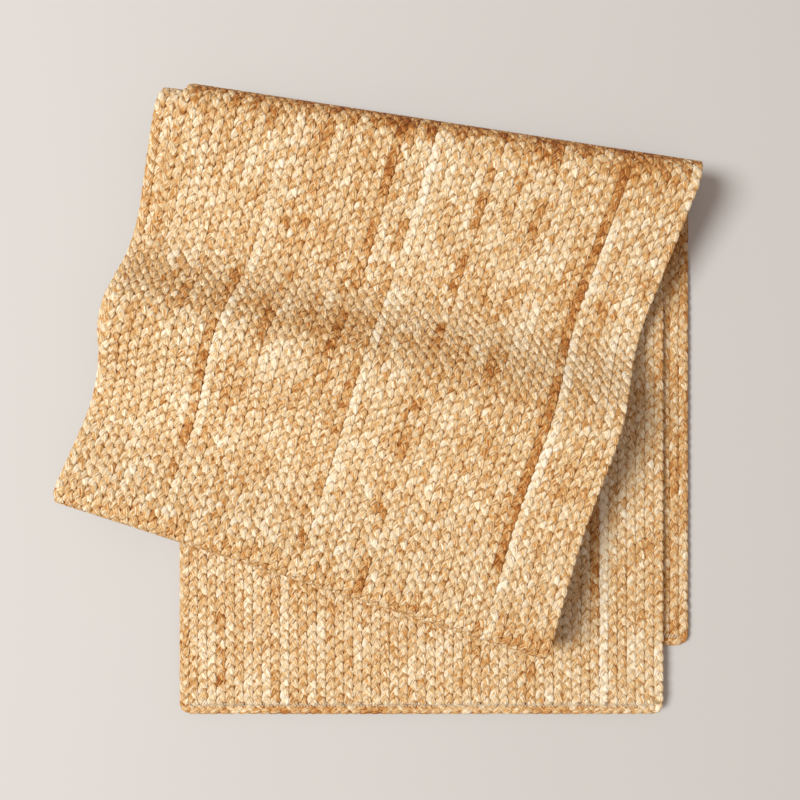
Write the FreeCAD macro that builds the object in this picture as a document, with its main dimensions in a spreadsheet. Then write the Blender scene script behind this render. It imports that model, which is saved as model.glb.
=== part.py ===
import FreeCAD, Part
import math
import os

# Braided table runner, folded in half twice and lying on a table.
#
# Fifty-one straight field braids lie side by side and one edge braid runs round them all.
# The runner is doubled at the mid fold, and the doubled stack is bent over at the top fold,
# which is skewed, so the upper part lies at an angle to the lower part.
#
# A point of the runner has three coordinates of its own: s along it from its first end,
# u across it from its centre line, and lift above its flat underside. The first half lies
# on the table, bends over the top fold and becomes the top layer; the second half starts
# at the mid fold, runs back inside the first and ends on top of the table layer.

SIZES = {
    # the braids
    "braid_width": 6.36,
    "braid_thickness": 4.5,
    "seam_gap": 0.35,
    "field_braids": 51,
    "runner_length": 1540.0,
    "corner_inner_radius": 0.8,
    # the sewing thread, drawn as a ribbon in each seam
    "thread_thickness": 0.25,
    "thread_depth": 1.5,
    # where the folds are, measured along the first half from its end
    "top_fold_at": 339.0,
    "mid_fold_at": 753.0,
    "fold_skew": 8.7,
    # the mid fold's open loop, and how far back it closes
    "layer_gap": 0.5,
    "loop_gap": 20.0,
    "loop_run": 130.0,
    # how far the second half has slid sideways, and over what length
    "half_shift": 18.0,
    "shift_run": 330.0,
    # the bent profile at the left and right of the top fold, from the table upwards
    "lift_run": 20.0,
    "lift_turn": 10.0,
    "bend_inner_radius": 13.5,
    "bend_turn_left": 184.0,
    "bend_turn_right": 185.0,
    "slope_run_left": 64.0,
    "slope_run_right": 86.0,
    "wave_arc": 45.0,
    "valley_turn_left": 46.0,
    "valley_turn_right": 46.0,
    "rise_run_left": 20.0,
    "rise_run_right": 22.0,
    "ridge_turn_left": 60.0,
    "ridge_turn_right": 39.0,
    "fall_run_left": 22.0,
    "fall_run_right": 40.0,
    "level_turn_left": 42.0,
    "level_turn_right": 12.0,
    # where the flat runs hand over to the bent ones, and how finely those are drawn
    "flat_margin": 2.0,
    "station_step": 6.0,
}

doc = FreeCAD.newDocument("TableRunner")
sizes = doc.addObject("Spreadsheet::Sheet", "Sizes")
for row, (alias, value) in enumerate(SIZES.items(), start=1):
    sizes.set(f"A{row}", alias)
    sizes.set(f"B{row}", str(value))
    sizes.setAlias(f"B{row}", alias)
doc.recompute()

# Lengths that follow from the cells, as expressions.
STACK_STEP = "(Sizes.braid_thickness + Sizes.layer_gap)"
PITCH = "(Sizes.braid_width + Sizes.seam_gap)"
HALF_WIDTH = f"(((Sizes.field_braids + 2) * {PITCH} - Sizes.seam_gap) / 2)"
LOOP_RADIUS = "((Sizes.braid_thickness + Sizes.loop_gap) / 2)"
LOOP_LENGTH = f"(pi * {LOOP_RADIUS})"
LOOP_START = f"(Sizes.mid_fold_at - {LOOP_LENGTH} / 2)"
LOOP_END = f"(Sizes.mid_fold_at + {LOOP_LENGTH} / 2)"
FIELD_END = f"{PITCH}"
TURN_LEFT = (
    "(Sizes.lift_turn + Sizes.bend_turn_left - Sizes.valley_turn_left"
    " + Sizes.ridge_turn_left - Sizes.level_turn_left)"
)
TURN_RIGHT = (
    "(Sizes.lift_turn + Sizes.bend_turn_right - Sizes.valley_turn_right"
    " + Sizes.ridge_turn_right - Sizes.level_turn_right)"
)
# The second half takes the inside of the bends, so it reaches further back by this much.
GAIN = f"({STACK_STEP} * ({TURN_LEFT} + {TURN_RIGHT}) / 2 * pi / 180)"


def value(expression):
    """The number that an expression of the sheet's cells gives."""
    return float(sizes.evalExpression(str(expression)))


def size(alias):
    """The number in one cell."""
    return value(f"Sizes.{alias}")


THICKNESS = size("braid_thickness")
MIDDLE = THICKNESS / 2
BRAID_WIDTH = size("braid_width")
HALF = value(HALF_WIDTH)
LENGTH = size("runner_length")
FIELD_START_AT = value(FIELD_END)
FIELD_END_AT = LENGTH - FIELD_START_AT
CORNER_INNER_RADIUS = size("corner_inner_radius")
CORNER_OUTER_RADIUS = CORNER_INNER_RADIUS + BRAID_WIDTH
THREAD_DEPTH = size("thread_depth")
HALF_THREAD = size("thread_thickness") / 2
FIELD_BRAIDS = int(size("field_braids"))
STEP = value(STACK_STEP)
TOP_FOLD_AT = size("top_fold_at")
SKEW = math.radians(size("fold_skew"))
FOLD_LINE_HALF = HALF / math.cos(SKEW)
LOOP_START_AT = value(LOOP_START)
LOOP_END_AT = value(LOOP_END)
LOOP_MIDDLE_RADIUS = value(LOOP_RADIUS)
LOOP_GAP = size("loop_gap")
LOOP_RUN = size("loop_run")
LAYER_GAP = size("layer_gap")
HALF_SHIFT = size("half_shift")
SHIFT_RUN = size("shift_run")
LIFT_RUN = size("lift_run")
LIFT_TURN = math.radians(size("lift_turn"))
OUTER_RADIUS = size("bend_inner_radius") + STEP + THICKNESS
WAVE_ARC = size("wave_arc")
GAIN_LENGTH = value(GAIN)
STATION_STEP = size("station_step")
OUTLINE_STATIONS = 400

# The profile sizes that change from the left end of the top fold to its right end.
PROFILE_NAMES = (
    "bend_turn", "slope_run", "valley_turn", "rise_run", "ridge_turn", "fall_run", "level_turn"
)
AT_LEFT = {name: size(f"{name}_left") for name in PROFILE_NAMES}
AT_RIGHT = {name: size(f"{name}_right") for name in PROFILE_NAMES}


def between(name, across):
    """A profile size at a distance across the top fold, from its left and right values."""
    share = (1 + across / FOLD_LINE_HALF) / 2
    return AT_LEFT[name] * (1 - share) + AT_RIGHT[name] * share


def profile(across):
    """The outer face's runs from the table upwards, as pairs of length and turn."""
    bend = math.radians(between("bend_turn", across))
    return (
        (LIFT_RUN, LIFT_TURN),
        (OUTER_RADIUS * bend, bend),
        (between("slope_run", across), 0.0),
        (WAVE_ARC, -math.radians(between("valley_turn", across))),
        (between("rise_run", across), 0.0),
        (WAVE_ARC, math.radians(between("ridge_turn", across))),
        (between("fall_run", across), 0.0),
        (WAVE_ARC, -math.radians(between("level_turn", across))),
    )


def follow_profile(distance, across, depth, sewn_depth):
    """Follows the bent profile and steps in from its outer face.

    Distances are true at sewn_depth inside the outer face. Gives the distance out towards
    the fold, and the height.
    """
    out = min(distance, 0.0)
    height = 0.0
    heading = 0.0
    left = max(distance, 0.0)
    for length, turn in profile(across):
        own_length = length - sewn_depth * turn
        share = min(left / own_length, 1.0)
        left = max(left - own_length, 0.0)
        turned = turn * share
        chord = length * share
        if turned:
            chord *= math.sin(turned / 2) / (turned / 2)
        out += chord * math.cos(heading + turned / 2)
        height += chord * math.sin(heading + turned / 2)
        heading += turned
    out += left * math.cos(heading) - depth * math.sin(heading)
    height += left * math.sin(heading) + depth * math.cos(heading)
    return out, height


def bend_over(along, across, depth, sewn_depth):
    """Bends a point of the doubled stack over the top fold; gives its x, y and z."""
    ahead = along - TOP_FOLD_AT
    distance = across * math.sin(SKEW) + ahead * math.cos(SKEW)
    distance -= (sewn_depth - MIDDLE) / STEP * GAIN_LENGTH
    sideways = across * math.cos(SKEW) - ahead * math.sin(SKEW)
    out, height = follow_profile(distance, sideways, depth, sewn_depth)
    x = out * math.sin(SKEW) + sideways * math.cos(SKEW)
    y = out * math.cos(SKEW) - sideways * math.sin(SKEW) + TOP_FOLD_AT
    return x, y, height


def ease(share):
    """Goes from 0 to 1 with level ends."""
    share = min(max(share, 0.0), 1.0)
    return share * share * (3 - 2 * share)


def runner_point(s, u, lift):
    """The place of one point of the runner, from the first end's middle."""
    beyond = lift - MIDDLE
    if s <= LOOP_START_AT:
        return bend_over(s, u, lift, MIDDLE)
    if s >= LOOP_END_AT:
        back = s - LOOP_END_AT
        gap = LOOP_GAP + (LAYER_GAP - LOOP_GAP) * ease(back / LOOP_RUN)
        shifted = u - HALF_SHIFT * ease(back / SHIFT_RUN)
        depth = MIDDLE + THICKNESS + gap - beyond
        return bend_over(LOOP_START_AT - back, shifted, depth, MIDDLE + STEP)
    turned = (s - LOOP_START_AT) / LOOP_MIDDLE_RADIUS
    radius = LOOP_MIDDLE_RADIUS - beyond
    depth = MIDDLE + LOOP_MIDDLE_RADIUS - radius * math.cos(turned)
    sewn_depth = MIDDLE + STEP * turned / math.pi
    return bend_over(LOOP_START_AT + radius * math.sin(turned), u, depth, sewn_depth)


def footprint_centre():
    """The middle of the folded runner's outline, seen from above."""
    along = [LENGTH * i / OUTLINE_STATIONS for i in range(OUTLINE_STATIONS + 1)]
    edges = [(s, u) for s in along for u in (-HALF, HALF)]
    outline = [runner_point(s, u, lift) for s, u in edges for lift in (0.0, THICKNESS)]
    xs = [point[0] for point in outline]
    ys = [point[1] for point in outline]
    return (min(xs) + max(xs)) / 2, (min(ys) + max(ys)) / 2


CENTRE_X, CENTRE_Y = footprint_centre()
for row, (alias, number) in enumerate(
    (("centre_x", CENTRE_X), ("centre_y", CENTRE_Y)), start=len(SIZES) + 1
):
    sizes.set(f"A{row}", alias)
    sizes.set(f"B{row}", repr(number))
    sizes.setAlias(f"B{row}", alias)
doc.recompute()


def place(s, u, lift):
    """runner_point as a vector, from the middle of the outline."""
    x, y, z = runner_point(s, u, lift)
    return FreeCAD.Vector(x - CENTRE_X, y - CENTRE_Y, z)


def rail(stations, u, lift):
    """A long edge of a bent strip."""
    curve = Part.BSplineCurve()
    curve.interpolate(Points=[place(s, u, lift) for s in stations], Parameters=stations)
    return curve


def face_between(first, second):
    """The face that straight lines sweep from one long edge to the next."""
    surface = Part.BSplineSurface()
    surface.buildFromPolesMultsKnots(
        [list(pair) for pair in zip(first.getPoles(), second.getPoles())],
        first.getMultiplicities(),
        [2, 2],
        first.getKnots(),
        [0.0, 1.0],
        False,
        False,
        first.Degree,
        1,
    )
    return surface.toShape()


def bent_strip(left, right, low, high, start, end):
    """A solid strip of the runner between two sides, two lifts and two distances along."""
    count = math.ceil((end - start) / STATION_STEP)
    stations = [start + (end - start) * i / count for i in range(count + 1)]
    corners = ((left, low), (right, low), (right, high), (left, high))
    rails = [rail(stations, u, lift) for u, lift in corners]
    faces = [face_between(a, b) for a, b in zip(rails, rails[1:] + rails[:1])]
    for s in (start, end):
        ring = [place(s, u, lift) for u, lift in corners]
        faces.append(Part.Face(Part.makePolygon(ring + ring[:1])))
    shell = Part.makeShell(faces)
    shell.sewShape()
    solid = Part.makeSolid(shell)
    if solid.Volume < 0:
        solid.reverse()
    return solid


# The first half is flat up to the start of the top bend, and the second half from it.
# Both handover lines are given at the strip's right side, where the skewed fold comes first.
UNDER_FLAT_END = (
    "(Sizes.top_fold_at - ({right}) * tan(Sizes.fold_skew)"
    " - Sizes.flat_margin / cos(Sizes.fold_skew))"
)
OVER_FLAT_START = (
    f"({LOOP_END} + {LOOP_START} - Sizes.top_fold_at"
    " + ({right} - Sizes.half_shift) * tan(Sizes.fold_skew)"
    f" - ({GAIN} - Sizes.flat_margin) / cos(Sizes.fold_skew))"
)


def flat_run(name, width):
    """A flat run's box, with its section bound to the sheet."""
    box = doc.addObject("Part::Box", name)
    box.setExpression("Length", width)
    box.setExpression("Height", "Sizes.braid_thickness")
    return box


def strip(name, left, width):
    """One braid's whole length: a flat run, the bent run and the other flat run."""
    right = f"{left} + {width}"
    under_end = UNDER_FLAT_END.format(right=right)
    over_start = OVER_FLAT_START.format(right=right)

    under = flat_run(f"{name}_under", width)
    under.setExpression("Width", f"{under_end} - {FIELD_END}")
    under.setExpression("Placement.Base.x", f"{left} - Sizes.centre_x")
    under.setExpression("Placement.Base.y", f"{FIELD_END} - Sizes.centre_y")

    over = flat_run(f"{name}_over", width)
    over.setExpression("Width", f"Sizes.runner_length - {FIELD_END} - {over_start}")
    over.setExpression(
        "Placement.Base.x",
        f"{left} - Sizes.half_shift - {GAIN} * sin(Sizes.fold_skew) - Sizes.centre_x",
    )
    over.setExpression(
        "Placement.Base.y",
        f"{LOOP_START} + {LOOP_END} - Sizes.runner_length + {FIELD_END}"
        f" - {GAIN} * cos(Sizes.fold_skew) - Sizes.centre_y",
    )
    over.setExpression("Placement.Base.z", STACK_STEP)

    bent = doc.addObject("Part::Feature", f"{name}_bent")
    bent.Shape = bent_strip(
        value(left), value(right), 0.0, THICKNESS, value(under_end), value(over_start)
    )

    whole = doc.addObject("Part::MultiFuse", name)
    whole.Shapes = [under, bent, over]
    whole.Refine = True
    whole.Label = name
    return whole


def field_braid(number):
    """One straight braid of the field, counted from the left."""
    left = f"{PITCH} * {number} - {HALF_WIDTH}"
    return strip(f"braid_{number:02d}", left, "Sizes.braid_width")


def end_turn(name, origin, leg_left, leg_right):
    """The edge braid's flat run at one end: across the end, with a leg up each side.

    The origin is the end's middle on the run's flat underside.
    """
    inner_half = HALF - BRAID_WIDTH

    def at(u, along):
        return origin + FreeCAD.Vector(u, along, 0.0)

    def corner(side, radius):
        """A quarter turn: its start on the leg, a point half way, its end on the crossing."""
        centre_u = side * (HALF - CORNER_OUTER_RADIUS)
        slant = radius * math.sqrt(0.5)
        return (
            at(centre_u + side * radius, CORNER_OUTER_RADIUS),
            at(centre_u + side * slant, CORNER_OUTER_RADIUS - slant),
            at(centre_u, CORNER_OUTER_RADIUS - radius),
        )

    left_outer, right_outer = (corner(side, CORNER_OUTER_RADIUS) for side in (-1, 1))
    left_inner, right_inner = (corner(side, CORNER_INNER_RADIUS) for side in (-1, 1))
    edges = [
        Part.makeLine(at(-HALF, leg_left), left_outer[0]),
        Part.Arc(*left_outer).toShape(),
        Part.makeLine(left_outer[2], right_outer[2]),
        Part.Arc(*reversed(right_outer)).toShape(),
        Part.makeLine(right_outer[0], at(HALF, leg_right)),
        Part.makeLine(at(HALF, leg_right), at(inner_half, leg_right)),
        Part.makeLine(at(inner_half, leg_right), right_inner[0]),
        Part.Arc(*right_inner).toShape(),
        Part.makeLine(right_inner[2], left_inner[2]),
        Part.Arc(*reversed(left_inner)).toShape(),
        Part.makeLine(left_inner[0], at(-inner_half, leg_left)),
        Part.makeLine(at(-inner_half, leg_left), at(-HALF, leg_left)),
    ]
    turn = doc.addObject("Part::Feature", name)
    turn.Shape = Part.Face(Part.Wire(edges)).extrude(FreeCAD.Vector(0, 0, THICKNESS))
    return turn


def edge_braid():
    """The one braid that runs round the whole runner."""
    width = "Sizes.braid_width"
    lefts = {"left": f"-{HALF_WIDTH}", "right": f"{HALF_WIDTH} - {width}"}
    under, over, pieces = {}, {}, []
    for side, left in lefts.items():
        right = f"{left} + {width}"
        under[side] = value(UNDER_FLAT_END.format(right=right))
        over[side] = value(OVER_FLAT_START.format(right=right))
        bent = doc.addObject("Part::Feature", f"edge_braid_{side}_bent")
        bent.Shape = bent_strip(
            value(left), value(right), 0.0, THICKNESS, under[side], over[side]
        )
        pieces.append(bent)

    first_end, second_end = place(0.0, 0.0, 0.0), place(LENGTH, 0.0, THICKNESS)
    leg_left, leg_right = LENGTH - over["left"], LENGTH - over["right"]
    pieces.append(end_turn("edge_braid_first_end", first_end, under["left"], under["right"]))
    pieces.append(end_turn("edge_braid_second_end", second_end, leg_left, leg_right))
    whole = doc.addObject("Part::MultiFuse", "edge_braid")
    whole.Shapes = pieces
    whole.Refine = True
    whole.Label = "edge_braid"
    return whole


def seam_ribbon(left, right):
    """The thread in one seam: two flat runs and the bent one between them, joined."""
    low, high = MIDDLE - THREAD_DEPTH / 2, MIDDLE + THREAD_DEPTH / 2
    under_end = value(UNDER_FLAT_END.format(right=right))
    over_start = value(OVER_FLAT_START.format(right=right))
    flat_runs = []
    for near, far in ((FIELD_START_AT, under_end), (over_start, FIELD_END_AT)):
        ends = [place(s, u, lift) for s, u, lift in ((near, left, low), (far, right, high))]
        box = FreeCAD.BoundBox()
        for corner in ends:
            box.add(corner)
        base = FreeCAD.Vector(box.XMin, box.YMin, box.ZMin)
        flat_runs.append(Part.makeBox(box.XLength, box.YLength, box.ZLength, base))
    return bent_strip(left, right, low, high, under_end, over_start).fuse(flat_runs)


def seam_threads():
    """The thread in each lengthways seam, as one group."""
    ribbons = []
    for number in range(FIELD_BRAIDS + 1):
        seam = value(f"{PITCH} * {number + 1} - Sizes.seam_gap / 2 - {HALF_WIDTH}")
        ribbons.append(seam_ribbon(seam - HALF_THREAD, seam + HALF_THREAD))
    threads = doc.addObject("Part::Feature", "seam_threads")
    threads.Label = "seam_threads"
    threads.Shape = Part.makeCompound(ribbons)
    return threads


def end_thread(name, s):
    """The thread that sews the field's ends to the edge braid, at one end."""
    half_field = f"({HALF_WIDTH} - {PITCH} - Sizes.corner_inner_radius)"
    thread = doc.addObject("Part::Box", name)
    thread.Label = name
    thread.setExpression("Length", f"2 * {half_field}")
    thread.setExpression("Width", "Sizes.thread_thickness")
    thread.setExpression("Height", "Sizes.thread_depth")
    corner = place(s, -value(half_field), 0.0)
    low = min(corner.z, place(s, 0.0, THICKNESS).z)
    thread.setExpression("Placement.Base.x", f"{corner.x!r}")
    thread.setExpression("Placement.Base.y", f"{corner.y!r} - Sizes.thread_thickness / 2")
    thread.setExpression(
        "Placement.Base.z", f"{low!r} + (Sizes.braid_thickness - Sizes.thread_depth) / 2"
    )
    return thread


nodes = [field_braid(number) for number in range(1, FIELD_BRAIDS + 1)]
nodes.append(edge_braid())
nodes.append(seam_threads())
seam_at_end = BRAID_WIDTH + size("seam_gap") / 2
nodes.append(end_thread("end_thread_first", seam_at_end))
nodes.append(end_thread("end_thread_second", LENGTH - seam_at_end))
doc.recompute()

for item in doc.Objects:
    if "Invalid" in item.State or "Error" in item.State:
        raise RuntimeError(f"{item.Label} failed: {item.State}")
for node in nodes:
    if node.Shape.isNull() or not node.Shape.isValid():
        raise RuntimeError(f"{node.Label} has no valid shape")

os.makedirs("parts", exist_ok=True)
for node in nodes:
    node.Shape.exportStep(f"parts/{node.Label}.step")
    print(node.Label, len(node.Shape.Solids), round(node.Shape.Volume / 1000, 2), "cm3")
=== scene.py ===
"""Table runner of sewn jute braids, folded in half twice and lying on a table.

Each braid is a real plait of three strands that follows the folds, sewn to its neighbours with
thread. One longer plait runs round them all as the border.
"""

import logging
import math
from dataclasses import dataclass, field
from enum import Enum

import bpy
import numpy as np
from mathutils import Euler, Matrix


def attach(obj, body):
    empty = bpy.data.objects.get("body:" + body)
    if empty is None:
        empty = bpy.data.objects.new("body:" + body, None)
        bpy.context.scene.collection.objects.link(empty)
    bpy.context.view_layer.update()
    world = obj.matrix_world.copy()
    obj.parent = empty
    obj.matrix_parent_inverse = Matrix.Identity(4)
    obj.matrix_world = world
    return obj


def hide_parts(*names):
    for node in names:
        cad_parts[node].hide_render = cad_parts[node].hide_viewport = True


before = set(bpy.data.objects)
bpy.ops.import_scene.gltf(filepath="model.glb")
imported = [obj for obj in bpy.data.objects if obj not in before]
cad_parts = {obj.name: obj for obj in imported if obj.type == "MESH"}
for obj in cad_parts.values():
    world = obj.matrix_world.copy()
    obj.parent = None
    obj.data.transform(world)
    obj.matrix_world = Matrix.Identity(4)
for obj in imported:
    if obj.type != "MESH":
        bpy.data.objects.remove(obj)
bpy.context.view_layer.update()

LOG = logging.getLogger("table_runner")
MM = 0.001
BODY = "root"


class Face(Enum):
    """The two faces of the flat runner; the value is the lift's direction outwards."""

    TABLE = -1
    BACK = 1


@dataclass(frozen=True)
class Run:
    """One run of the bent profile, at the left and the right end of the top fold."""

    length: tuple[float, float]
    turn: tuple[float, float] = (0.0, 0.0)


def ease(share: np.ndarray) -> np.ndarray:
    """Go from 0 to 1 with level ends."""
    share = np.clip(share, 0.0, 1.0)
    return share * share * (3.0 - 2.0 * share)


@dataclass(frozen=True)
class FoldedRunner:
    """The flat runner's sizes and how it is folded, in millimetres and degrees.

    A point of the runner is s along it from its first end, u across it from its centre line,
    and lift above the face that lies on the table at the first end.
    """

    braid_width: float = 6.36
    thickness: float = 4.5
    seam_gap: float = 0.35
    field_braids: int = 51
    length: float = 1540.0
    corner_inner_radius: float = 0.8
    top_fold_at: float = 339.0
    mid_fold_at: float = 753.0
    fold_skew: float = 8.7
    layer_gap: float = 0.5
    loop_gap: float = 20.0
    loop_run: float = 130.0
    half_shift: float = 18.0
    shift_run: float = 330.0
    bend_inner_radius: float = 13.5
    bend_turn: tuple[float, float] = (184.0, 185.0)
    rim_reach: float = 48.0
    outline_stations: int = 401

    @property
    def pitch(self) -> float:
        """Distance from one braid to the next."""
        return self.braid_width + self.seam_gap

    @property
    def half_width(self) -> float:
        """Half the flat runner's width."""
        return ((self.field_braids + 2) * self.pitch - self.seam_gap) / 2

    @property
    def step(self) -> float:
        """Distance from one closed layer to the next."""
        return self.thickness + self.layer_gap

    @property
    def skew(self) -> float:
        """The top fold's skew in radians."""
        return math.radians(self.fold_skew)

    @property
    def loop_radius(self) -> float:
        """Middle radius of the mid fold's loop."""
        return (self.thickness + self.loop_gap) / 2

    @property
    def loop_start(self) -> float:
        """Where the mid fold's loop begins."""
        return self.mid_fold_at - math.pi * self.loop_radius / 2

    @property
    def loop_end(self) -> float:
        """Where the mid fold's loop ends."""
        return self.mid_fold_at + math.pi * self.loop_radius / 2

    @property
    def profile(self) -> tuple[Run, ...]:
        """The outer face's runs, from the table upwards."""
        radius = self.bend_inner_radius + self.step + self.thickness
        left, right = (radius * math.radians(turn) for turn in self.bend_turn)
        return (
            Run((20.0, 20.0), (10.0, 10.0)),
            Run((left, right), self.bend_turn),
            Run((64.0, 86.0)),
            Run((45.0, 45.0), (-46.0, -46.0)),
            Run((20.0, 22.0)),
            Run((45.0, 45.0), (60.0, 39.0)),
            Run((22.0, 40.0)),
            Run((45.0, 45.0), (-42.0, -12.0)),
        )

    @property
    def gain(self) -> float:
        """How much further back the second half reaches, as it takes the inside of the bend."""
        mean_turn = sum(sum(run.turn) for run in self.profile) / 2
        return self.step * math.radians(mean_turn)

    def braid_middle(self, number: int) -> float:
        """The u of a field braid's middle, counted from the left."""
        return self.pitch * number - self.half_width + self.braid_width / 2

    def rim(self, u: np.ndarray) -> np.ndarray:
        """The s of the top fold's outermost line, at a place across the runner."""
        return self.top_fold_at + self.rim_reach - u * math.tan(self.skew)

    def follow_profile(
        self, distance: np.ndarray, across: np.ndarray, depth: np.ndarray, sewn: np.ndarray
    ) -> tuple[np.ndarray, np.ndarray]:
        """Follow the bent profile and step in from its outer face.

        Args:
            distance: How far along, true at the sewn depth.
            across: Place across the fold, from its middle.
            depth: How far inside the outer face.
            sewn: The depth at which distances are true.

        Returns:
            The distance out towards the fold, and the height.
        """
        share = (1.0 + across * math.cos(self.skew) / self.half_width) / 2.0
        out = np.minimum(distance, 0.0)
        left = np.maximum(distance, 0.0)
        height = np.zeros_like(out)
        heading = np.zeros_like(out)
        for run in self.profile:
            length = run.length[0] + (run.length[1] - run.length[0]) * share
            turn = np.radians(run.turn[0] + (run.turn[1] - run.turn[0]) * share)
            own = length - sewn * turn
            done = np.minimum(left / own, 1.0)
            left = np.maximum(left - own, 0.0)
            turned = turn * done
            chord = length * done * np.sinc(turned / (2.0 * np.pi))
            out = out + chord * np.cos(heading + turned / 2.0)
            height = height + chord * np.sin(heading + turned / 2.0)
            heading = heading + turned
        out = out + left * np.cos(heading) - depth * np.sin(heading)
        height = height + left * np.sin(heading) + depth * np.cos(heading)
        return out, height

    def bend_over(
        self, along: np.ndarray, across: np.ndarray, depth: np.ndarray, sewn: np.ndarray
    ) -> np.ndarray:
        """Bend points of the doubled stack over the skewed top fold.

        Args:
            along: Place along the stack.
            across: Place across the stack.
            depth: How far inside the outer face.
            sewn: The depth at which distances are true.

        Returns:
            The points' x, y and z.
        """
        sine, cosine = math.sin(self.skew), math.cos(self.skew)
        ahead = along - self.top_fold_at
        distance = across * sine + ahead * cosine
        distance = distance - (sewn - self.thickness / 2) / self.step * self.gain
        sideways = across * cosine - ahead * sine
        out, height = self.follow_profile(distance, sideways, depth, sewn)
        x = out * sine + sideways * cosine
        y = out * cosine - sideways * sine + self.top_fold_at
        return np.stack([x, y, height], axis=-1)

    def from_first_end(self, s: np.ndarray, u: np.ndarray, lift: np.ndarray) -> np.ndarray:
        """Fold points of the flat runner, measured from the first end's middle.

        Args:
            s: Distance along the runner.
            u: Distance across it.
            lift: Height above its table face.

        Returns:
            The folded points in millimetres.
        """
        s, u, lift = np.broadcast_arrays(s, u, lift)
        middle, radius = self.thickness / 2, self.loop_radius
        beyond = lift - middle
        back = np.maximum(s - self.loop_end, 0.0)
        turned = np.clip((s - self.loop_start) / radius, 0.0, np.pi)
        reach = (radius - beyond) * np.sin(turned)
        along = np.minimum(s, self.loop_start) + reach - back
        gap = self.loop_gap + (self.layer_gap - self.loop_gap) * ease(back / self.loop_run)
        in_loop = middle + radius - (radius - beyond) * np.cos(turned)
        depth = np.where(back > 0.0, middle + self.thickness + gap - beyond, in_loop)
        sewn = middle + self.step * turned / np.pi
        across = u - self.half_shift * ease(back / self.shift_run)
        return self.bend_over(along, across, depth, sewn)

    def centre(self) -> np.ndarray:
        """The middle of the folded outline, seen from above."""
        s = np.linspace(0.0, self.length, self.outline_stations)
        outline = np.concatenate([
            self.from_first_end(s, np.float64(side * self.half_width), np.float64(lift))
            for side in (-1, 1)
            for lift in (0.0, self.thickness)
        ])
        middle = (outline.min(axis=0) + outline.max(axis=0)) / 2
        return middle * (1.0, 1.0, 0.0)

    def place(self, flat: np.ndarray) -> np.ndarray:
        """Fold points of the flat runner into the row frame.

        Args:
            flat: Points as s, u and lift in millimetres, on the last axis.

        Returns:
            The folded points in metres.
        """
        folded = self.from_first_end(flat[..., 0], flat[..., 1], flat[..., 2])
        return (folded - self.centre()) * MM


@dataclass(frozen=True)
class Wander:
    """A slow, seeded wandering of a size along a braid, smooth and without steps."""

    seed: int
    shortest: float = 18.0
    longest: float = 160.0
    waves: int = 5
    spread: float = 0.15

    def at(self, along: np.ndarray) -> np.ndarray:
        """The wandering at these distances, mostly between -1 and 1."""
        chance = np.random.default_rng(self.seed)
        lengths = np.geomspace(self.shortest, self.longest, self.waves)
        lengths = lengths * chance.uniform(1.0 - self.spread, 1.0 + self.spread, self.waves)
        starts = chance.uniform(0.0, 2.0 * np.pi, self.waves)
        waves = [np.sin(2.0 * np.pi * along / l + p) for l, p in zip(lengths, starts)]
        return np.sum(waves, axis=0) / math.sqrt(self.waves)


@dataclass(frozen=True)
class Streak:
    """A stretch of one braid that was plaited from darker or paler jute."""

    braid: int
    start: float
    end: float
    tone: float
    patchy: float = 0.0


@dataclass
class Skin:
    """A mesh in the making: points, faces and what the finish reads at each point."""

    points: list[np.ndarray] = field(default_factory=list)
    quads: list[np.ndarray] = field(default_factory=list)
    caps: list[np.ndarray] = field(default_factory=list)
    marks: dict[str, list[np.ndarray]] = field(default_factory=dict)
    count: int = 0

    def add_tube(self, rings: np.ndarray, closed: bool, **marks: np.ndarray) -> None:
        """Add a tube.

        Args:
            rings: Points as rings by sides by 3, in metres.
            closed: True where the last ring joins the first.
            marks: Values for the finish, as rings by sides, or by sides by 3.
        """
        many, sides = rings.shape[:2]
        index = np.arange(many * sides).reshape(many, sides) + self.count
        ahead = np.roll(index, -1, axis=0) if closed else index[1:]
        here = index if closed else index[:-1]
        faces = (here, ahead, np.roll(ahead, -1, axis=1), np.roll(here, -1, axis=1))
        self.quads.append(np.stack(faces, axis=-1).reshape(-1, 4))
        if not closed:
            self.caps += [index[0], index[-1][::-1]]
        self.points.append(rings.reshape(-1, 3))
        for name, values in marks.items():
            self.marks.setdefault(name, []).append(values.reshape(many * sides, -1))
        self.count += many * sides

    def build(self, name: str) -> bpy.types.Object:
        """Make the object, smooth all over, with its marks as attributes.

        Args:
            name: The piece's name.

        Returns:
            The new object, at the origin.
        """
        mesh = bpy.data.meshes.new(name)
        quads = np.concatenate(self.quads)
        loops = np.concatenate([quads.ravel(), *self.caps]).astype(np.int32)
        sizes = np.array([4] * len(quads) + [len(cap) for cap in self.caps], np.int32)
        mesh.vertices.add(self.count)
        mesh.vertices.foreach_set("co", np.concatenate(self.points).astype(np.float32).ravel())
        mesh.loops.add(len(loops))
        mesh.loops.foreach_set("vertex_index", loops)
        mesh.polygons.add(len(sizes))
        mesh.polygons.foreach_set("loop_start", np.concatenate([[0], sizes.cumsum()[:-1]]))
        mesh.polygons.foreach_set("use_smooth", np.ones(len(sizes), bool))
        for label, parts in self.marks.items():
            values = np.concatenate(parts).astype(np.float32)
            kind, key = ("FLOAT_VECTOR", "vector") if values.shape[1] == 3 else ("FLOAT", "value")
            mesh.attributes.new(label, kind, "POINT").data.foreach_set(key, values.ravel())
        mesh.update(calc_edges=True)
        mesh.validate()
        piece = bpy.data.objects.new(name, mesh)
        bpy.context.scene.collection.objects.link(piece)
        return piece


def round_section(sides: int) -> tuple[tuple[float, float], ...]:
    """The corners of a round section of radius 1."""
    angles = [2.0 * math.pi * side / sides for side in range(sides)]
    return tuple((math.cos(angle), math.sin(angle)) for angle in angles)


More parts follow.
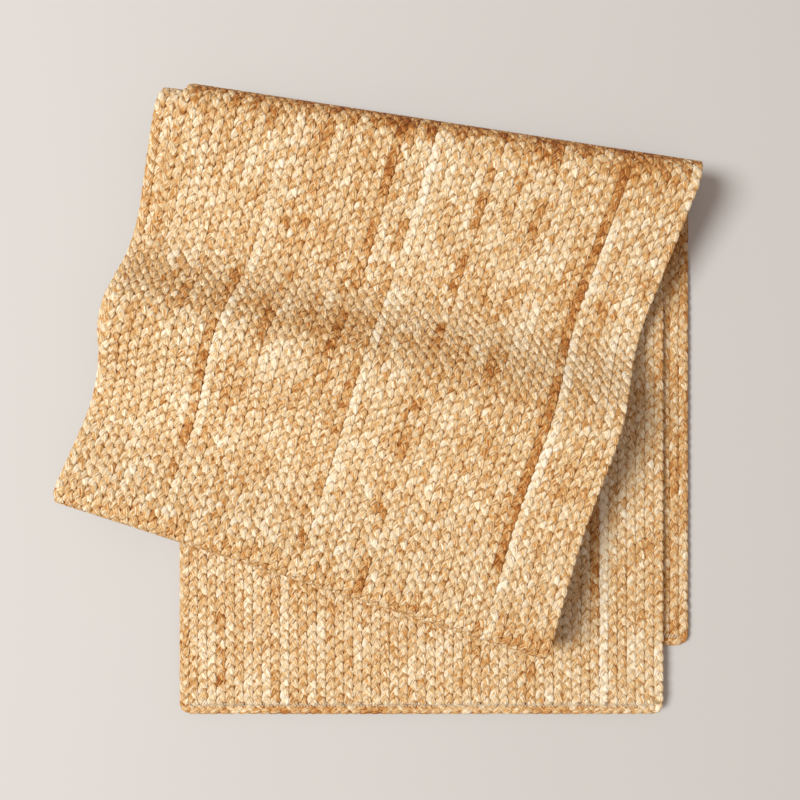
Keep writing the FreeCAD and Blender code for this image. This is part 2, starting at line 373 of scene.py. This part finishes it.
def press(values: np.ndarray, free: float, limit: float) -> np.ndarray:
    """Press what lies beyond a free distance softly inside a limit, on both sides."""
    over = np.maximum(np.abs(values) - free, 0.0)
    room = limit - free
    return np.sign(values) * (np.minimum(np.abs(values), free) + room * np.tanh(over / room))


def sweep(
    line: np.ndarray,
    width: np.ndarray,
    thickness: np.ndarray,
    section: tuple[tuple[float, float], ...],
    closed: bool = False,
) -> np.ndarray:
    """Sweep a section along a line in the flat runner's own coordinates.

    Args:
        line: Points as along, across and lift, n by 3.
        width: The section's width in the runner's plane at each point.
        thickness: The section's thickness at each point.
        section: The section's corners, for a width and thickness of 2.
        closed: True where the line's end meets its start.

    Returns:
        The rings, n by corners by 3.
    """
    if closed:
        ahead = np.roll(line, -1, axis=0) - np.roll(line, 1, axis=0)
        ahead[[0, -1]] = ahead[[1, -2]]
    else:
        ahead = np.gradient(line, axis=0)
    ahead /= np.linalg.norm(ahead, axis=1, keepdims=True)
    aside = np.stack([-ahead[:, 1], ahead[:, 0], np.zeros(len(line))], axis=1)
    aside /= np.maximum(np.linalg.norm(aside, axis=1, keepdims=True), 1e-6)
    upward = np.cross(ahead, aside)
    corners = np.array(section)
    wide = (width[:, None] / 2.0 * corners[:, 0])[..., None] * aside[:, None, :]
    thick = (thickness[:, None] / 2.0 * corners[:, 1])[..., None] * upward[:, None, :]
    return line[:, None, :] + wide + thick


@dataclass(frozen=True)
class Plait:
    """A flat plait of three strands: how they swing, cross and are shaped, in millimetres."""

    strands: int = 3
    period: float = 22.2
    swing: float = 2.55
    rise: float = 1.0
    steepness: float = 2.4
    strand_width: float = 5.8
    strand_thickness: float = 2.5
    half_width: float = 3.65
    half_thickness: float = 2.05
    squareness: float = 0.9
    flatness: float = 1.55
    side_margin: float = 1.3
    face_free: float = 0.35
    drift: float = 0.5
    fullness: float = 0.07
    unevenness: float = 0.12
    wobble: float = 0.1
    thinning: float = 0.6
    show_spread: float = 0.055
    show_sharpness: float = 2.2
    slow_spread: float = 0.07
    twist_length: float = 70.0
    fibre_stretch: float = 0.13
    samples: int = 11
    corners: tuple[tuple[float, float], ...] = (
        (1.0, 0.0), (0.75, 0.9), (-0.75, 0.9), (-1.0, 0.0),
        (-0.8, -0.85), (0.0, -1.0), (0.8, -0.85),
    )

    def strand(
        self, along: np.ndarray, number: int, seed: int, period: float, closed: bool
    ) -> dict[str, np.ndarray]:
        """One strand of a straight plait.

        Args:
            along: Stations along the plait.
            number: Which strand.
            seed: What its irregularities grow from.
            period: Length of one whole round of the plait.
            closed: True where the plait ends where it starts.

        Returns:
            Its rings as along, across and lift from the middle, and its marks.
        """
        chance = np.random.default_rng(seed)
        drift = 0.0 if closed else self.drift * Wander(seed, 90.0, 400.0, 3).at(along)
        turn = 2.0 * np.pi * along / period + 2.0 * np.pi * number / self.strands + drift
        if not closed:
            turn = turn + chance.uniform(0.0, 2.0 * np.pi)
        own = seed * 10 + number
        fullness = 1.0 + self.fullness * Wander(own + 5, 9.0, 60.0).at(along)
        uneven = self.unevenness * Wander(own + 7, 7.0, 40.0).at(along)
        wobble = self.wobble * Wander(own + 3, 20.0, 90.0).at(along)
        across = (self.swing + wobble) * np.sin(turn)
        height = self.rise * np.tanh(self.steepness * np.sin(2.0 * turn)) + uneven
        line = np.stack([along, across, -height], axis=1)
        width = self.strand_width * fullness
        thickness = self.strand_thickness * (1.0 + (1.0 - fullness) * self.thinning)
        rings = sweep(line, width, thickness, self.corners, closed)
        reach = self.rise + self.strand_thickness / 2
        # painted shade: how deep each point lies in the plait, to darken the hollows between
        # strands
        sunk = np.clip(1.0 - np.abs(rings[..., 2]) / reach, 0.0, 1.0)
        free = self.half_width - self.side_margin
        rings[..., 1] = press(rings[..., 1], free, self.half_width)
        rings[..., 2] *= 1.0 + self.squareness * (rings[..., 1] / self.half_width) ** 4
        limit = self.half_thickness / self.flatness
        rings[..., 2] = self.flatness * press(rings[..., 2], self.face_free * limit, limit)
        return {
            "rings": rings,
            "tone": self.tones(turn, along, own),
            "fibre": self.fibres(along, own),
            "sunk": sunk,
        }

    def tones(self, turn: np.ndarray, along: np.ndarray, seed: int) -> np.ndarray:
        """How pale the jute is at each station: by strand, and by each showing of it."""
        chance = np.random.default_rng(seed + 11)
        knots = turn / (np.pi / 2.0) - 0.5
        first = np.floor(knots).astype(int)
        share = ease((knots - first - 0.5) * self.show_sharpness + 0.5)
        shows = chance.normal(0.0, self.show_spread, first.max() - first.min() + 3)
        base = first - first.min()
        each = shows[base] * (1.0 - share) + shows[base + 1] * share
        return each + self.slow_spread * Wander(seed + 13, 40.0, 300.0).at(along)

    def fibres(self, along: np.ndarray, seed: int) -> np.ndarray:
        """Where each point lies in the strand's own bundle of fibres, twisted a little."""
        corners = np.array(self.corners) * (self.strand_width / self.strand_thickness, 1.0)
        twist = along[:, None] * 2.0 * np.pi / self.twist_length
        first = corners[:, 0] * np.cos(twist) - corners[:, 1] * np.sin(twist)
        second = corners[:, 0] * np.sin(twist) + corners[:, 1] * np.cos(twist)
        shift = (seed * 7.31) % 97.0  # far enough apart that no two strands look alike
        far = np.broadcast_to(along[:, None] * self.fibre_stretch, first.shape)
        return np.stack([first + shift, second, far], axis=-1)


class Nodes:
    """A material in the making, with short words for its nodes."""

    def __init__(self, name: str) -> None:
        """Start a material with an empty tree."""
        self.material = bpy.data.materials.new(name)
        self.material.use_nodes = True
        self.tree = self.material.node_tree
        self.tree.nodes.clear()
        output = self.tree.nodes.new("ShaderNodeOutputMaterial")
        self.shader = self.tree.nodes.new("ShaderNodeBsdfPrincipled")
        self.link(self.shader.outputs["BSDF"], output.inputs["Surface"])

    def link(self, source: bpy.types.NodeSocket, target: bpy.types.NodeSocket) -> None:
        """Join two sockets."""
        self.tree.links.new(source, target)

    def mark(self, name: str, output: str) -> bpy.types.NodeSocket:
        """Read one of the mesh's own marks."""
        node = self.tree.nodes.new("ShaderNodeAttribute")
        node.attribute_name = name
        return node.outputs[output]

    def noise(
        self, where: bpy.types.NodeSocket, scale: float, detail: float = 3.0
    ) -> bpy.types.NodeSocket:
        """A noise at a place, about 0.5 on average."""
        node = self.tree.nodes.new("ShaderNodeTexNoise")
        node.inputs["Scale"].default_value = scale
        node.inputs["Detail"].default_value = detail
        self.link(where, node.inputs["Vector"])
        return node.outputs["Fac"]

    def math(
        self,
        operation: str,
        first: bpy.types.NodeSocket | float,
        *more: bpy.types.NodeSocket | float,
    ) -> bpy.types.NodeSocket:
        """A sum, product or the like of sockets and numbers."""
        node = self.tree.nodes.new("ShaderNodeMath")
        node.operation = operation
        for socket, value in zip(node.inputs, (first, *more)):
            if isinstance(value, bpy.types.NodeSocket):
                self.link(value, socket)
            else:
                socket.default_value = value
        return node.outputs["Value"]

    def ramp(
        self, share: bpy.types.NodeSocket, stops: tuple[tuple[float, tuple[float, ...]], ...]
    ) -> bpy.types.NodeSocket:
        """Colours by a share, from stops of place and colour."""
        node = self.tree.nodes.new("ShaderNodeValToRGB")
        self.link(share, node.inputs["Fac"])
        bar = node.color_ramp.elements
        while len(bar) < len(stops):
            bar.new(0.5)
        for element, (place, colour) in zip(bar, stops):
            element.position = place
            element.color = (*colour, 1.0)
        return node.outputs["Color"]

    def bump(self, height: bpy.types.NodeSocket, strength: float, distance: float) -> None:
        """Give the shader a bump."""
        node = self.tree.nodes.new("ShaderNodeBump")
        node.inputs["Strength"].default_value = strength
        node.inputs["Distance"].default_value = distance
        self.link(height, node.inputs["Height"])
        self.link(node.outputs["Normal"], self.shader.inputs["Normal"])


def srgb(red: int, green: int, blue: int) -> tuple[float, float, float]:
    """A colour given as a screen shows it, for a shader."""
    def linear(part: float) -> float:
        return part / 12.92 if part <= 0.04045 else ((part + 0.055) / 1.055) ** 2.4
    return linear(red / 255), linear(green / 255), linear(blue / 255)


@dataclass(frozen=True)
class JuteFinish:
    """Jute fibre: golden tan, from red-brown to cream, dull, with fine fibres along it, and
    painted shade in the plait's hollows.
    """

    stops: tuple[tuple[float, tuple[float, float, float]], ...] = (
        (0.0, srgb(128, 66, 24)),
        (0.24, srgb(180, 115, 53)),
        (0.38, srgb(199, 145, 82)),
        (0.5, srgb(209, 167, 110)),
        (0.6, srgb(219, 186, 139)),
        (0.7, srgb(229, 204, 164)),
        (0.84, srgb(240, 221, 189)),
        (1.0, srgb(248, 235, 212)),
    )
    middle: float = 0.635
    streak_scale: float = 0.95
    thread_scale: float = 2.6
    patch_scale: float = 38.0
    grain: float = 1.3
    patchiness: float = 0.2
    # painted shade in the plait's hollows
    hollow_shade_power: float = 1.6
    hollow_shade_depth: float = 0.45

    def material(self) -> bpy.types.Material:
        """The finish for every plait."""
        nodes = Nodes("jute")
        fibre = nodes.mark("fibre", "Vector")
        place = nodes.tree.nodes.new("ShaderNodeTexCoord").outputs["Object"]
        streaks = nodes.noise(fibre, self.streak_scale, 4.0)
        threads = nodes.noise(fibre, self.thread_scale, 2.0)
        patches = nodes.noise(place, self.patch_scale, 2.0)
        tone = nodes.math("ADD", nodes.mark("tone", "Fac"), self.middle)
        amounts = ((streaks, self.grain), (threads, self.grain), (patches, self.patchiness))
        for texture, amount in amounts:
            swing = nodes.math("MULTIPLY", nodes.math("SUBTRACT", texture, 0.5), amount)
            tone = nodes.math("ADD", tone, swing)
        # painted shade: darker where the strands sink into the plait's hollows
        sunk = nodes.math("POWER", nodes.mark("sunk", "Fac"), self.hollow_shade_power)
        tone = nodes.math("SUBTRACT", tone, nodes.math("MULTIPLY", sunk, self.hollow_shade_depth))
        nodes.link(nodes.ramp(tone, self.stops), nodes.shader.inputs["Base Color"])
        rough = nodes.math("ADD", nodes.math("MULTIPLY", threads, 0.3), 0.55)
        nodes.link(rough, nodes.shader.inputs["Roughness"])
        nodes.shader.inputs["Specular IOR Level"].default_value = 0.12
        nodes.shader.inputs["Sheen Weight"].default_value = 0.03
        nodes.shader.inputs["Sheen Roughness"].default_value = 0.5
        nodes.bump(nodes.math("ADD", streaks, threads), 0.8, 0.0012)
        return nodes.material


@dataclass(frozen=True)
class ThreadFinish:
    """Sewing thread, fine and dull: tan in the lengthways seams, paler at the ends."""

    name: str = "thread"
    tan: tuple[float, float, float] = srgb(168, 118, 66)
    pale: tuple[float, float, float] = srgb(242, 228, 200)

    def material(self) -> bpy.types.Material:
        """The finish for every stitch."""
        nodes = Nodes(self.name)
        place = nodes.tree.nodes.new("ShaderNodeTexCoord").outputs["Object"]
        ply = nodes.noise(place, 2600.0, 2.0)
        shade = nodes.math("ADD", nodes.math("MULTIPLY", ply, 0.5), nodes.mark("tone", "Fac"))
        stops = ((0.3, self.tan), (1.0, self.pale))
        nodes.link(nodes.ramp(shade, stops), nodes.shader.inputs["Base Color"])
        nodes.link(nodes.math("ADD", nodes.math("MULTIPLY", ply, 0.2), 0.6),
                   nodes.shader.inputs["Roughness"])
        nodes.shader.inputs["Specular IOR Level"].default_value = 0.3
        nodes.shader.inputs["Sheen Weight"].default_value = 0.2
        nodes.bump(ply, 0.4, 0.0002)
        return nodes.material


def finish_piece(
    piece: bpy.types.Object, material: bpy.types.Material, slot: str, *nodes: str
) -> bpy.types.Object:
    """Dress a piece and tie it to the frame.

    Args:
        piece: The piece, with its place in its mesh.
        material: Its finish.
        slot: The record's material slot; not used.
        nodes: The frame's parts that it stands for.

    Returns:
        The same piece.
    """
    piece.data.materials.append(material)
    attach(piece, BODY)
    if nodes:
        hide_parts(*nodes)
    return piece


@dataclass(frozen=True)
class PaintedShade:
    """Painted shade, by tone: darker bands where the folded runner faces away from the lamp, a
    darker rim on the top fold, and the layer beneath it.
    """

    runner: FoldedRunner
    # painted shade: bands where the top layer rises away from the lamp, and towards the mid
    # fold's rim
    shade_bands: tuple[tuple[float, float, float], ...] = (
        (549.0, 592.0, -0.07),
        (608.0, 648.0, -0.035),
        (728.0, 790.0, -0.1),
    )
    raggedness: float = 3.0
    shade_band_fades: tuple[float, float] = (9.0, 12.0)
    # painted shade: the top fold's rim, which turns away from the lamp, and the layer beneath the
    # top fold
    rim: float = -0.36
    under: float = -0.08
    rim_span: tuple[float, float] = (-40.0, 42.0)
    rim_fades: tuple[float, float] = (15.0, 34.0)

    def tone(self, s: np.ndarray, u: np.ndarray, seed: int) -> np.ndarray:
        """How much darker the painted shade makes the jute.

        Args:
            s: Places along the flat runner.
            u: Places across it.
            seed: What the ragged ends of a shaded stretch grow from.

        Returns:
            The tone at each place.
        """
        ragged = self.raggedness * Wander(700 + seed, 10.0, 40.0, 3).at(s)
        fade_in, fade_out = self.shade_band_fades
        tone = np.zeros_like(s)
        for start, end, depth in self.shade_bands:
            into_band = ease((s + ragged - start) / fade_in)
            tone += depth * into_band * ease((end - s + ragged) / fade_out)
        beyond = s - self.runner.rim(u)
        first, last = self.rim_span
        fade_in, fade_out = self.rim_fades
        at_rim = ease((beyond - first) / fade_in)
        at_rim = at_rim * ease((last - beyond + 3.0 * ragged) / fade_out)
        return tone + self.rim * at_rim + self.under * ease(-(beyond - first) / fade_in)


@dataclass
class FieldBraids:
    """The straight plaits that lie side by side."""

    runner: FoldedRunner
    plait: Plait
    material: bpy.types.Material
    streaks: tuple[Streak, ...] = (
        Streak(45, 380.0, 705.0, -0.24, 0.08),
        Streak(45, 1330.0, 1470.0, -0.14, 0.1),
        Streak(46, 430.0, 1540.0, 0.2),
        Streak(38, 385.0, 590.0, -0.12, 0.14),
        Streak(38, 1470.0, 1530.0, -0.16, 0.14),
        Streak(32, 375.0, 745.0, -0.13, 0.16),
        Streak(32, 1485.0, 1500.0, -0.2, 0.05),
        Streak(25, 380.0, 735.0, -0.12, 0.1),
        Streak(26, 400.0, 745.0, 0.11),
        Streak(22, 375.0, 602.0, -0.2, 0.1),
        Streak(10, 540.0, 720.0, -0.18, 0.1),
        Streak(10, 1440.0, 1540.0, -0.1, 0.08),
        Streak(11, 455.0, 745.0, 0.15),
        Streak(11, 1430.0, 1540.0, 0.1),
        Streak(15, 375.0, 610.0, -0.08, 0.08),
        Streak(16, 590.0, 700.0, 0.08),
        Streak(4, 1460.0, 1525.0, -0.1, 0.12),
    )
    streak_fade: float = 8.0
    end_reach: float = 1.2
    sway: float = 0.14
    period_spread: float = 0.05

    def streak_tone(self, number: int, along: np.ndarray) -> np.ndarray:
        """How much paler or darker a braid's streaks make it at each station."""
        tone = np.zeros_like(along)
        for streak in self.streaks:
            if streak.braid == number:
                inside = ease((along - streak.start) / self.streak_fade)
                inside = inside * ease((streak.end - along) / self.streak_fade)
                patches = streak.patchy * Wander(900 + number, 14.0, 60.0).at(along)
                tone += inside * (streak.tone + patches)
        return tone

    def braid_tone(self, number: int, along: np.ndarray) -> np.ndarray:
        """How pale one braid is along its length, beside its neighbours, with painted shade where
        the folds turn from the lamp.
        """
        slow = 0.045 * Wander(500 + number, 60.0, 700.0, 4).at(along)
        wide = 0.02 * Wander(499, 7.0, 40.0).at(np.float64(number))
        across = np.full_like(along, self.runner.braid_middle(number))
        # painted shade: darker bands and rim where the folds face away from the lamp, and on the
        # layer beneath
        painted_shade = PaintedShade(self.runner).tone(along, across, number)
        return slow + wide + self.streak_tone(number, along) + painted_shade

    def build(self) -> list[bpy.types.Object]:
        """Make every field braid.

        Returns:
            The new pieces.
        """
        runner, plait = self.runner, self.plait
        start = runner.pitch - self.end_reach
        end = runner.length - runner.pitch + self.end_reach
        count = round((end - start) / plait.period * plait.samples)
        along = np.linspace(start, end, count)
        pieces = []
        for number in range(1, runner.field_braids + 1):
            chance = np.random.default_rng(number)
            spread = self.period_spread
            period = plait.period * chance.uniform(1.0 - spread, 1.0 + spread)
            sway = self.sway * Wander(200 + number, 60.0, 300.0, 3).at(along)
            base = self.braid_tone(number, along)
            skin = Skin()
            for strand in range(plait.strands):
                made = plait.strand(along, strand, number, period, closed=False)
                flat = made["rings"] + (0.0, 0.0, runner.thickness / 2)
                flat[..., 1] += runner.braid_middle(number) + sway[:, None]
                flat[..., 0] = np.clip(flat[..., 0], start, end)
                skin.add_tube(
                    runner.place(flat),
                    closed=False,
                    tone=np.repeat(made["tone"] + base, len(plait.corners)),
                    fibre=made["fibre"],
                    sunk=made["sunk"],
                )
            piece = skin.build(f"plait_{number:02d}")
            finish_piece(piece, self.material, "jute", f"braid_{number:02d}")
            pieces.append(piece)
        return pieces


@dataclass
class EdgeBraid:
    """The one plait that runs round the whole runner."""

    runner: FoldedRunner
    plait: Plait
    material: bpy.types.Material
    corner_points: int = 13
    end_tone: float = -0.12
    seed: int = 77

    def line(self) -> np.ndarray:
        """The plait's middle line round the flat runner, as s and u, its corners rounded."""
        runner = self.runner
        inset = runner.braid_width / 2
        radius = runner.corner_inner_radius + inset
        far_s, far_u = runner.length - inset, runner.half_width - inset
        corners = (
            (far_s - radius, far_u - radius),
            (far_s - radius, radius - far_u),
            (inset + radius, radius - far_u),
            (inset + radius, far_u - radius),
        )
        points = []
        for quarter, (s, u) in enumerate(corners):
            angle = np.linspace(math.pi / 2, 0.0, self.corner_points) - quarter * math.pi / 2
            points.append(np.stack([s + radius * np.cos(angle), u + radius * np.sin(angle)], 1))
        return np.concatenate(points)

    def walk(self, stations: int) -> tuple[np.ndarray, np.ndarray, np.ndarray]:
        """Even stations round the line.

        Args:
            stations: How many.

        Returns:
            The distance walked, the points and the directions to the right of the walk.
        """
        line = self.line()
        closed = np.concatenate([line, line[:1]])
        pieces = np.linalg.norm(np.diff(closed, axis=0), axis=1)
        walked = np.concatenate([[0.0], pieces.cumsum()])
        along = np.arange(stations) * walked[-1] / stations
        points = np.stack([np.interp(along, walked, closed[:, axis]) for axis in (0, 1)], axis=1)
        ahead = np.roll(points, -1, axis=0) - np.roll(points, 1, axis=0)
        ahead /= np.linalg.norm(ahead, axis=1, keepdims=True)
        return along, points, np.stack([-ahead[:, 1], ahead[:, 0]], axis=1)

    def length(self) -> float:
        """The length of the line round the runner."""
        line = self.line()
        return float(np.linalg.norm(line - np.roll(line, -1, axis=0), axis=1).sum())

    def build(self) -> bpy.types.Object:
        """Make the edge braid as one closed plait.

        Returns:
            The new piece.
        """
        plait, length = self.plait, self.length()
        rounds = round(length / plait.period)
        stations = rounds * plait.samples
        along, points, aside = self.walk(stations)
        skin = Skin()
        slow = 0.06 * np.sin(2 * np.pi * along / length * 7 + 1.0)
        slow += 0.05 * np.sin(2 * np.pi * along / length * 23 + 2.0)
        from_end = np.minimum(points[:, 0], self.runner.length - points[:, 0])
        ends = self.end_tone * ease((2.0 * self.runner.pitch - from_end) / self.runner.pitch)
        # painted shade: darker where the folds face away from the lamp, and on the layer beneath
        painted_shade = PaintedShade(self.runner).tone(points[:, 0], points[:, 1], 0)
        for strand in range(plait.strands):
            made = plait.strand(along, strand, self.seed, length / rounds, closed=True)
            rings = made["rings"]
            step = (rings[..., 0] - along[:, None]) / (length / stations)
            where = np.arange(stations)[:, None] + step
            low = np.floor(where).astype(int)
            share = (where - low)[..., None]
            middle = points[low % stations] * (1 - share) + points[(low + 1) % stations] * share
            out = aside[low % stations] * (1 - share) + aside[(low + 1) % stations] * share
            flat = np.empty_like(rings)
            flat[..., :2] = middle + out * rings[..., 1:2]
            flat[..., 2] = rings[..., 2] + self.runner.thickness / 2
            skin.add_tube(
                self.runner.place(flat),
                closed=True,
                tone=np.repeat(made["tone"] + slow + ends + painted_shade, len(plait.corners)),
                fibre=made["fibre"],
                sunk=made["sunk"],
            )
        piece = skin.build("edge_plait")
        finish_piece(piece, self.material, "jute", "edge_braid")
        # A strand is 4 percent longer than its plait, as it swings from side to side.
        return piece


@dataclass
class Stitching:
    """The sewing thread: round every lengthways seam, and in a zigzag across both ends."""

    runner: FoldedRunner
    material: bpy.types.Material
    diameter: float = 0.32
    seam_reach: float = 0.6
    seam_depth: float = 0.8
    seam_step: float = 5.5
    zigzag_diameter: float = 0.9
    zigzag_reach: float = 1.4
    zigzag_step: float = 1.1
    zigzag_lift: float = 2.05
    zigzag_waver: float = 0.12
    zigzag_tone: float = 0.75

    def tube(self, skin: Skin, line: np.ndarray, diameter: float, tone: float) -> None:
        """Add one thread along a line in the flat runner's coordinates."""
        size = np.full(len(line), diameter)
        rings = sweep(line, size, size, round_section(4))
        tones = np.full(rings.shape[:2], tone)
        skin.add_tube(self.runner.place(rings), closed=False, tone=tones)

    def seams(self) -> bpy.types.Object:
        """Make the thread of every lengthways seam."""
        runner, skin = self.runner, Skin()
        start, end = runner.pitch, runner.length - runner.pitch
        s = np.arange(start, end, self.seam_step)
        place = np.arange(len(s)) % 4
        across = np.array([-1.0, 1.0, 1.0, -1.0])[place] * self.seam_reach
        lift = np.array([-1.0, -1.0, 1.0, 1.0])[place] * self.seam_depth + runner.thickness / 2
        for number in range(runner.field_braids + 1):
            seam = runner.pitch * (number + 1) - runner.seam_gap / 2 - runner.half_width
            self.tube(skin, np.stack([s, seam + across, lift], axis=1), self.diameter, 0.0)
        return finish_piece(skin.build("seam_stitches"), self.material, "thread", "seam_threads")

    def end(self, name: str, node: str, s: float) -> bpy.types.Object:
        """Make the zigzag across one end, on both faces.

        Args:
            name: The piece's name.
            node: The frame's part that it stands for.
            s: Where the seam is.

        Returns:
            The new piece.
        """
        runner, skin = self.runner, Skin()
        half = runner.half_width - runner.pitch
        u = np.arange(-half, half, self.zigzag_step)
        side = np.where(np.arange(len(u)) % 2, 1.0, -1.0)
        for face in Face:
            proud = self.zigzag_lift + self.zigzag_waver * np.sin(u * 0.94)
            lift = runner.thickness / 2 + face.value * proud
            line = np.stack([s + side * self.zigzag_reach, u, lift], axis=1)
            self.tube(skin, line, self.zigzag_diameter, self.zigzag_tone)
        return finish_piece(skin.build(name), self.material, "thread", node)

    def build(self) -> list[bpy.types.Object]:
        """Make all the stitching."""
        seam = self.runner.pitch - self.runner.seam_gap / 2
        return [
            self.seams(),
            self.end("end_stitches_first", "end_thread_first", seam),
            self.end("end_stitches_second", "end_thread_second", self.runner.length - seam),
        ]


@dataclass
class LooseFibres:
    """Short fibres that have worked loose and stand off the jute."""

    runner: FoldedRunner
    material: bpy.types.Material
    count: int = 900
    thickness: float = 0.11
    points: int = 5
    seed: int = 31
    upper_share: float = 0.7
    upper_span: tuple[float, float] = (400.0, 765.0)
    lower_span: tuple[float, float] = (1230.0, 1530.0)
    lengths: tuple[float, float] = (3.0, 9.0)
    heights: tuple[float, float] = (0.2, 0.9)
    root_depth: float = 0.35
    taper: float = 0.6

    def build(self) -> bpy.types.Object:
        """Make all the loose fibres as one piece."""
        chance = np.random.default_rng(self.seed)
        skin = Skin()
        half = self.runner.half_width - 1.0
        share = np.linspace(0.0, 1.0, self.points)
        for number in range(self.count):
            upper = chance.random() < self.upper_share
            s = chance.uniform(*(self.upper_span if upper else self.lower_span))
            u = chance.uniform(-half, half)
            heading = chance.normal(0.0, 0.7) + (math.pi if chance.random() < 0.5 else 0.0)
            reach = chance.uniform(*self.lengths)
            curl = chance.normal(0.0, 1.1)
            height = chance.uniform(*self.heights)
            turn = heading + curl * share
            along = s + reach * share * np.cos(turn)
            across = np.clip(u + reach * share * np.sin(turn), -half - 1.0, half + 1.0)
            lift = self.root_depth - height * np.sin(share * np.pi * 0.75)
            line = np.stack([along, across, lift], axis=1)
            thin = self.thickness * (1.0 - self.taper * share)
            rings = sweep(line, thin, thin, round_section(3))
            tone = np.full(rings.shape[:2], chance.normal(0.18, 0.1))
            fibre = np.zeros_like(rings) + number * 0.37
            skin.add_tube(self.runner.place(rings), closed=False, tone=tone, fibre=fibre,
                          sunk=np.zeros(rings.shape[:2]))
        return finish_piece(skin.build("loose_fibres"), self.material, "jute")


@dataclass
class Studio:
    """The table top, the lights and the camera."""

    eye: tuple[float, float, float] = (0.0127, 0.0035, 0.520)
    lens: float = 31.24
    floor_size: float = 6.0
    lamp_colour: tuple[float, float, float] = (0.955, 0.99, 1.0)
    room_colour: tuple[float, float, float] = (1.0, 0.84, 0.76)

    def floor(self) -> None:
        """Lay the plain pale table top."""
        bpy.ops.object.select_all(action="DESELECT")
        bpy.ops.mesh.primitive_plane_add(size=self.floor_size, location=(0.0, 0.0, 0.0))
        floor = bpy.context.active_object
        floor.name = "table_top"
        nodes = Nodes("table_top")
        nodes.shader.inputs["Base Color"].default_value = (*srgb(190, 187, 183), 1.0)
        nodes.shader.inputs["Roughness"].default_value = 0.8
        nodes.shader.inputs["Specular IOR Level"].default_value = 0.2
        floor.data.materials.append(nodes.material)

    def light(
        self, name: str, azimuth: float, height: float, away: float, size: float, power: float
    ) -> None:
        """Hang one soft lamp that faces the runner.

        Args:
            name: The lamp's name.
            azimuth: Its direction seen from above, in degrees from the right.
            height: Its angle above the table, in degrees.
            away: Its distance.
            size: Its width.
            power: Its power in watts.
        """
        turn, lift = math.radians(azimuth), math.radians(height)
        lamp = bpy.data.lights.new(name, "AREA")
        lamp.shape = "DISK"
        lamp.size = size
        lamp.energy = power
        lamp.color = self.lamp_colour
        holder = bpy.data.objects.new(name, lamp)
        holder.location = (
            away * math.cos(lift) * math.cos(turn),
            away * math.cos(lift) * math.sin(turn),
            away * math.sin(lift),
        )
        holder.rotation_euler = Euler((0.0, math.pi / 2 - lift, turn), "XYZ")
        bpy.context.scene.collection.objects.link(holder)

    def surroundings(self, low: float, rise: float) -> None:
        """Fill the room with soft warm light that comes mostly from above.

        Args:
            low: Its strength at the horizon.
            rise: How much stronger it is straight above.
        """
        world = bpy.data.worlds.new("room")
        world.use_nodes = True
        tree = world.node_tree
        background = tree.nodes["Background"]
        background.inputs["Color"].default_value = (*self.room_colour, 1.0)
        place = tree.nodes.new("ShaderNodeTexCoord")
        parts = tree.nodes.new("ShaderNodeSeparateXYZ")
        strength = tree.nodes.new("ShaderNodeMath")
        strength.operation = "MULTIPLY_ADD"
        strength.use_clamp = True
        strength.inputs[1].default_value = rise
        strength.inputs[2].default_value = low
        tree.links.new(place.outputs["Generated"], parts.inputs[0])
        tree.links.new(parts.outputs["Z"], strength.inputs[0])
        tree.links.new(strength.outputs[0], background.inputs["Strength"])
        bpy.context.scene.world = world

    def camera(self) -> None:
        """Hang the camera straight over the runner."""
        camera = bpy.data.cameras.new("camera")
        camera.lens = self.lens
        camera.sensor_width = 36.0
        camera.clip_start = 0.02
        holder = bpy.data.objects.new("camera", camera)
        holder.location = self.eye
        bpy.context.scene.collection.objects.link(holder)
        bpy.context.scene.camera = holder

    def build(self) -> None:
        """Set up the studio."""
        self.floor()
        self.light("key", azimuth=182.0, height=49.0, away=4.0, size=1.6, power=208.0)
        self.surroundings(low=0.1, rise=0.54)
        self.camera()
        bpy.context.scene.view_settings.view_transform = "Standard"


def main() -> None:
    """Build the runner and the studio, in order."""
    logging.basicConfig(level=logging.INFO, format="%(name)s: %(message)s")
    runner, plait = FoldedRunner(), Plait()
    jute, thread = JuteFinish().material(), ThreadFinish().material()
    pieces = FieldBraids(runner, plait, jute).build()
    LOG.info("%d field braids", len(pieces))
    edge = EdgeBraid(runner, plait, jute).build()
    LOG.info("%s, %d faces", edge.name, len(edge.data.polygons))
    for piece in Stitching(runner, thread).build():
        LOG.info("%s, %d faces", piece.name, len(piece.data.polygons))
    fibres = LooseFibres(runner, jute).build()
    LOG.info("%s, %d faces", fibres.name, len(fibres.data.polygons))
    Studio().build()


if __name__ == "__main__":
    main()
